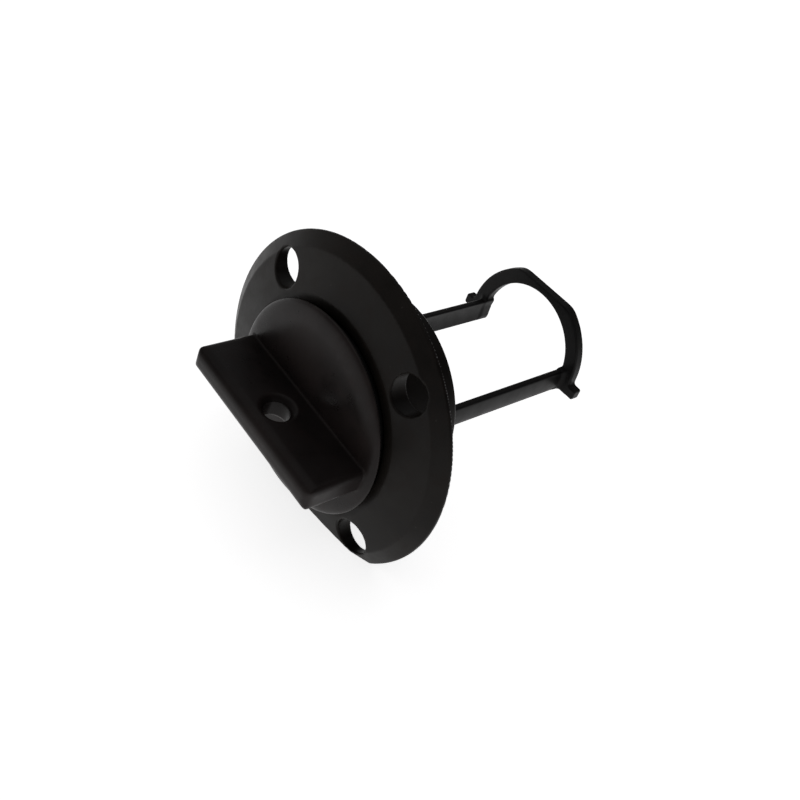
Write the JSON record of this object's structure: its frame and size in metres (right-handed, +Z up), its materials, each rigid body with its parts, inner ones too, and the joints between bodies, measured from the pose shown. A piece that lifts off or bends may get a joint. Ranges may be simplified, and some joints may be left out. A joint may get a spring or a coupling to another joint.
{
  "type": "boat drain socket with captive bung",
  "caption": "Small-boat drain socket: round screw-down flange with one straight edge and a short barrel, closed by a thumb-bar screw bung with a seal ring and a captive two-arm keeper.",
  "frame": {"origin": "on the fitting's axis, in the plane of the flange's back face, which beds on the hull", "axes": "+Y along the axis, from the thumb bar through the flange to the keeper's far end (inboard to outboard side of the panel); +Z up, away from the flange's straight edge; the thumb bar lies along X, its +X end 3.2 degrees low, when the bung is home"},
  "size_m": [0.048, 0.0554, 0.0408],
  "materials": {
    "socket": "satin moulded black",
    "bung": "satin moulded black, faintly brown",
    "seal": "soft black rubber",
    "keeper": "fine-grained moulded black"
  },
  "bodies": {
    "socket": {"socket": "socket"},
    "keeper": {"keeper": "keeper"},
    "seal": {"o_ring": "seal"},
    "bung": {"bung": "bung"}
  },
  "joints": [
    {"name": "pull_out", "type": "slide", "parent": "socket", "child": "keeper", "axis": [0, -1, 0], "range_m": [0, 0.0295]},
    {"name": "thread_lift", "type": "slide", "parent": "keeper", "child": "seal", "axis": [0, -1, 0], "range_m": [0, 0.0075]},
    {"name": "bung_turn", "type": "hinge", "parent": "seal", "child": "bung", "pos_m": [0, 0, 0], "axis": [0, -1, 0], "range_deg": [0, 900]}
  ],
  "couplings": [
    {"joint": "bung_turn", "follows": "thread_lift", "rad_per_m": 2094.4}
  ]
}
